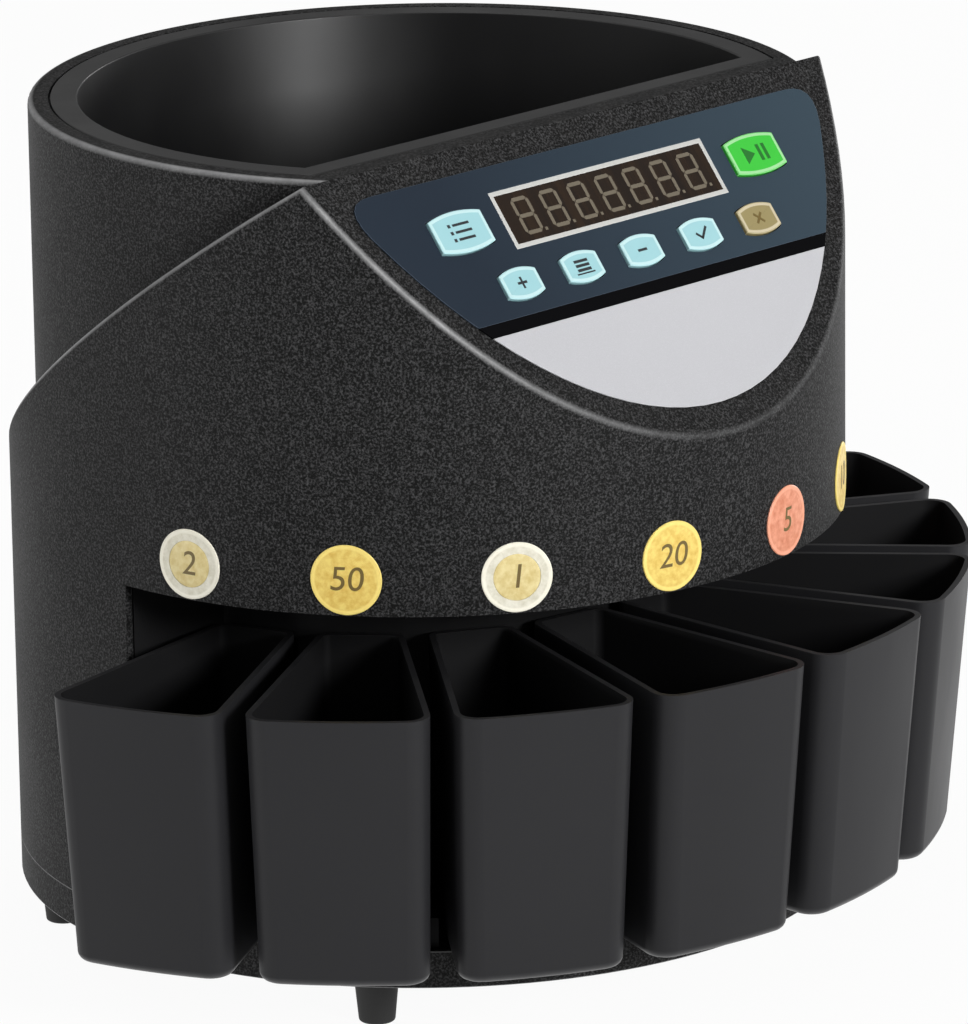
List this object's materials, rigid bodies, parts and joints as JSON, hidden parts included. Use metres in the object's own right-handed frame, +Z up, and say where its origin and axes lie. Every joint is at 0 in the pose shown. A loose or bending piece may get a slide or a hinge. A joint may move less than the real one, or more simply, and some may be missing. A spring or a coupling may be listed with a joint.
{
  "type": "coin counting machine",
  "caption": "Countertop coin sorter: a round hopper over a turning sorting disc, coin drawers fanned under a skirted housing, and a slanted keypad panel with a digit display.",
  "frame": {"origin": "middle of the footprint of the whole machine, on the table under its feet", "axes": "+Z up, -Y towards the user and the control panel, +X to the right of someone facing the panel from behind it; the machine axis stands 19 mm behind the origin"},
  "size_m": [0.3874, 0.3196, 0.2835],
  "materials": {
    "textured_black": "fine spark texture",
    "bowl_black": "smooth satin",
    "drawer_black": "smooth, glossy",
    "inner_grey": "matt",
    "foot_rubber": "matt",
    "steel": "plain",
    "plate_grey": "satin",
    "board_green": "solder mask",
    "disc_metal": "turned",
    "mat_rubber": "pimpled",
    "bush_brass": "turned",
    "gear_nylon": "moulded",
    "motor_zinc": "plated",
    "chip_black": "moulded",
    "core_iron": "laminated",
    "coil_copper": "enamelled wire",
    "fitting_black": "moulded",
    "overlay_blue": "printed film",
    "stripe_black": "printed film",
    "plate_silver": "silver print",
    "frame_white": "printed line",
    "display_smoke": "smoked window",
    "key_cyan": "embossed film",
    "key_green": "embossed film",
    "key_tan": "embossed film",
    "badge_gold": "printed disc",
    "badge_copper": "printed disc",
    "badge_silver": "printed disc"
  },
  "bodies": {
    "machine": {"main_housing": "textured_black", "rear_shell": "textured_black", "rear_panel": "textured_black", "base_tray": "textured_black", "hopper_bowl": "bowl_black", "drawer_deck": "inner_grey", "bay_wall": "inner_grey", "bay_sides": "inner_grey", "feet": "foot_rubber", "base_screws": "steel", "sorting_ring": "plate_grey", "disc_floor": "plate_grey", "coin_chutes": "plate_grey", "coin_sensors": "board_green", "shaft_bushes": "bush_brass", "motor_bracket": "steel", "motor": "motor_zinc", "main_board": "board_green", "panel_board": "board_green", "board_parts": "chip_black", "transformer_core": "core_iron", "transformer_coil": "coil_copper", "power_inlet": "fitting_black", "inlet_pins": "steel", "switch_frame": "fitting_black", "keypad_overlay": "overlay_blue", "overlay_stripe": "stripe_black", "front_plate": "plate_silver", "display_frame": "frame_white", "display_window": "display_smoke", "display_module": "chip_black", "key_switches": "steel", "badges_gold": "badge_gold", "badges_copper": "badge_copper", "badge_rims": "badge_silver", "badge_centres": "badge_gold"},
    "disc": {"coin_disc": "disc_metal", "disc_mat": "mat_rubber", "disc_cone": "disc_metal", "disc_shaft": "steel", "drive_gear": "gear_nylon"},
    "pinion": {"motor_pinion": "bush_brass"},
    "rocker": {"switch_rocker": "fitting_black"},
    "key_report": {"key_report": "key_cyan"},
    "key_start": {"key_start": "key_green"},
    "key_plus": {"key_plus": "key_cyan"},
    "key_batch": {"key_batch": "key_cyan"},
    "key_minus": {"key_minus": "key_cyan"},
    "key_set": {"key_set": "key_cyan"},
    "key_clear": {"key_clear": "key_tan"},
    "drawer_1": {"drawer_1": "drawer_black"},
    "drawer_2": {"drawer_2": "drawer_black"},
    "drawer_3": {"drawer_3": "drawer_black"},
    "drawer_4": {"drawer_4": "drawer_black"},
    "drawer_5": {"drawer_5": "drawer_black"},
    "drawer_6": {"drawer_6": "drawer_black"},
    "drawer_7": {"drawer_7": "drawer_black"},
    "drawer_8": {"drawer_8": "drawer_black"}
  },
  "joints": [
    {"name": "drawer_1_slide", "type": "slide", "parent": "machine", "child": "drawer_1", "axis": [-0.9397, -0.342, 0], "range_m": [0, 0.04]},
    {"name": "drawer_2_slide", "type": "slide", "parent": "machine", "child": "drawer_2", "axis": [-0.766, -0.6428, 0], "range_m": [0, 0.04]},
    {"name": "drawer_3_slide", "type": "slide", "parent": "machine", "child": "drawer_3", "axis": [-0.5, -0.866, 0], "range_m": [0, 0.04]},
    {"name": "drawer_4_slide", "type": "slide", "parent": "machine", "child": "drawer_4", "axis": [-0.1736, -0.9848, 0], "range_m": [0, 0.04]},
    {"name": "drawer_5_slide", "type": "slide", "parent": "machine", "child": "drawer_5", "axis": [0.1736, -0.9848, 0], "range_m": [0, 0.04]},
    {"name": "drawer_6_slide", "type": "slide", "parent": "machine", "child": "drawer_6", "axis": [0.5, -0.866, 0], "range_m": [0, 0.04]},
    {"name": "drawer_7_slide", "type": "slide", "parent": "machine", "child": "drawer_7", "axis": [0.766, -0.6428, 0], "range_m": [0, 0.04]},
    {"name": "drawer_8_slide", "type": "slide", "parent": "machine", "child": "drawer_8", "axis": [0.9397, -0.342, 0], "range_m": [0, 0.04]},
    {"name": "key_report_press", "type": "slide", "parent": "machine", "child": "key_report", "axis": [0, 0.7815, -0.6239], "range_m": [0, 0.0005], "stiffness_N_per_m": 600},
    {"name": "key_start_press", "type": "slide", "parent": "machine", "child": "key_start", "axis": [0, 0.7815, -0.6239], "range_m": [0, 0.0005], "stiffness_N_per_m": 600},
    {"name": "key_plus_press", "type": "slide", "parent": "machine", "child": "key_plus", "axis": [0, 0.7815, -0.6239], "range_m": [0, 0.0005], "stiffness_N_per_m": 600},
    {"name": "key_batch_press", "type": "slide", "parent": "machine", "child": "key_batch", "axis": [0, 0.7815, -0.6239], "range_m": [0, 0.0005], "stiffness_N_per_m": 600},
    {"name": "key_minus_press", "type": "slide", "parent": "machine", "child": "key_minus", "axis": [0, 0.7815, -0.6239], "range_m": [0, 0.0005], "stiffness_N_per_m": 600},
    {"name": "key_set_press", "type": "slide", "parent": "machine", "child": "key_set", "axis": [0, 0.7815, -0.6239], "range_m": [0, 0.0005], "stiffness_N_per_m": 600},
    {"name": "key_clear_press", "type": "slide", "parent": "machine", "child": "key_clear", "axis": [0, 0.7815, -0.6239], "range_m": [0, 0.0005], "stiffness_N_per_m": 600},
    {"name": "disc_spin", "type": "hinge", "parent": "machine", "child": "disc", "pos_m": [0, 0.019, 0.1561], "axis": [0, 0, 1], "continuous": true},
    {"name": "pinion_spin", "type": "hinge", "parent": "machine", "child": "pinion", "pos_m": [0, 0.059, 0.1561], "axis": [0, 0, 1], "continuous": true},
    {"name": "power_rocker", "type": "hinge", "parent": "machine", "child": "rocker", "pos_m": [-0.02, 0.1493, 0.064], "axis": [1, 0, 0], "range_deg": [-22, 0]}
  ],
  "couplings": [
    {"joint": "pinion_spin", "follows": "disc_spin", "ratio": -3}
  ]
}
